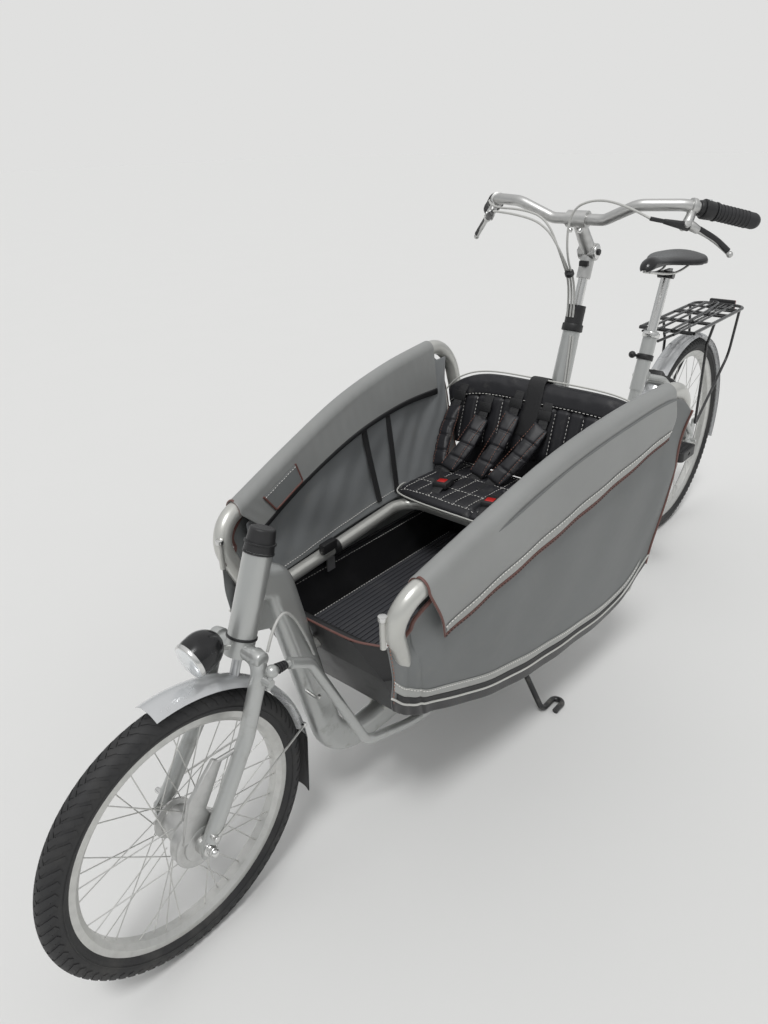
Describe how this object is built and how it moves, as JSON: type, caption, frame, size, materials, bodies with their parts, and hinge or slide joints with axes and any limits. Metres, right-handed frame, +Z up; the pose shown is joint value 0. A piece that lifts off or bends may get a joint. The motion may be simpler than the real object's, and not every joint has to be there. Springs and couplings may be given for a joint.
{
  "type": "front-loading cargo bike",
  "caption": "Two-wheeled front-loading cargo bike with a cloth-sided child box, padded bench, rod steering, rear rack, chain case and a two-legged stand.",
  "frame": {"origin": "on the floor, at the centre of the overall length and width", "axes": "+X forward along the bike, +Y to the rider's left, +Z up"},
  "size_m": [2.5824, 0.6734, 1.124],
  "materials": {
    "black_padding": "black padded cloth",
    "black_plastic": "moulded black plastic",
    "black_steel": "gloss black paint",
    "black_vinyl": "black coated cloth",
    "grey_tarpaulin": "grey coated cloth",
    "grip_rubber": "black rubber",
    "lamp_shell": "glossy black shell",
    "pale_tube": "pale silver paint",
    "polished_alloy": "polished alloy",
    "red_lens": "red lens",
    "rib_mat": "ribbed rubber mat",
    "rim_alloy": "satin rim",
    "saddle_cover": "glossy black cover",
    "silver_alloy": "satin alloy",
    "silver_guard": "silver painted guard",
    "silver_paint": "metallic silver paint",
    "tyre": "black rubber tyre",
    "zinc_wire": "bright wire"
  },
  "bodies": {
    "frame": {"head_tube": "silver_paint", "main_beam": "silver_paint", "column_housing": "silver_paint", "rear_frame": "silver_paint", "seat_post": "polished_alloy", "saddle": "saddle_cover", "saddle_clamp": "black_steel", "rear_mudguard": "silver_guard", "rear_rack": "black_steel", "rear_lamp": "red_lens", "chain_case": "black_plastic", "box_rail_left": "pale_tube", "box_rail_right": "pale_tube", "front_cross": "pale_tube", "rear_cross": "pale_tube", "floor_crosses": "pale_tube", "hoop_left": "pale_tube", "hoop_right": "pale_tube", "tub": "black_vinyl", "floor_mat": "rib_mat", "side_panel_left": "grey_tarpaulin", "side_panel_right": "grey_tarpaulin", "bench_seat": "black_padding", "bench_back": "black_padding"},
    "handlebar": {"steering_shaft": "polished_alloy", "column_collar": "black_plastic", "stem": "silver_alloy", "handlebar": "silver_alloy", "grip_left": "grip_rubber", "grip_right": "grip_rubber"},
    "tie_rod": {"tie_rod": "silver_paint"},
    "fork": {"fork": "silver_paint", "head_cap": "black_plastic", "front_mudguard": "silver_guard", "head_lamp": "lamp_shell", "lamp_bracket": "zinc_wire"},
    "front_wheel": {"front_tyre": "tyre", "front_rim": "rim_alloy", "front_hub": "silver_alloy", "front_spokes": "zinc_wire"},
    "rear_wheel": {"rear_tyre": "tyre", "rear_rim": "rim_alloy", "rear_hub": "silver_alloy", "rear_spokes": "zinc_wire"},
    "crankset": {"crankset": "silver_alloy"},
    "pedal_left": {"pedal_left": "black_plastic"},
    "pedal_right": {"pedal_right": "black_plastic"},
    "stand": {"stand": "black_steel"}
  },
  "joints": [
    {"name": "steer", "type": "hinge", "parent": "frame", "child": "handlebar", "pos_m": [0.041, 0, 0.168], "axis": [-0.2924, 0, 0.9563], "range_deg": [-40, 40]},
    {"name": "fork_turn", "type": "hinge", "parent": "frame", "child": "fork", "pos_m": [0.88205, 0, 0.53982], "axis": [-0.3665, 0, 0.9304], "range_deg": [-40, 40]},
    {"name": "rod_swing", "type": "hinge", "parent": "handlebar", "child": "tie_rod", "pos_m": [0.04334, 0.08, 0.16035], "axis": [-0.2924, -0.0069, 0.9563], "range_deg": [-40, 40]},
    {"name": "front_wheel_spin", "type": "hinge", "parent": "fork", "child": "front_wheel", "pos_m": [1.04125, 0, 0.25], "axis": [0, 1, 0], "continuous": true},
    {"name": "rear_wheel_spin", "type": "hinge", "parent": "frame", "child": "rear_wheel", "pos_m": [-0.94875, 0, 0.3265], "axis": [0, 1, 0], "continuous": true},
    {"name": "crank_spin", "type": "hinge", "parent": "frame", "child": "crankset", "pos_m": [-0.484, 0, 0.282], "axis": [0, 1, 0], "continuous": true},
    {"name": "pedal_left_spin", "type": "hinge", "parent": "crankset", "child": "pedal_left", "pos_m": [-0.53086, 0.152, 0.44541], "axis": [0, 1, 0], "continuous": true},
    {"name": "pedal_right_spin", "type": "hinge", "parent": "crankset", "child": "pedal_right", "pos_m": [-0.43714, -0.152, 0.11859], "axis": [0, 1, 0], "continuous": true},
    {"name": "stand_fold", "type": "hinge", "parent": "frame", "child": "stand", "pos_m": [0.14, 0, 0.122], "axis": [0, 1, 0], "range_deg": [0, 85]}
  ],
  "couplings": [
    {"joint": "fork_turn", "follows": "steer", "ratio": 1},
    {"joint": "rod_swing", "follows": "steer", "ratio": -1}
  ]
}
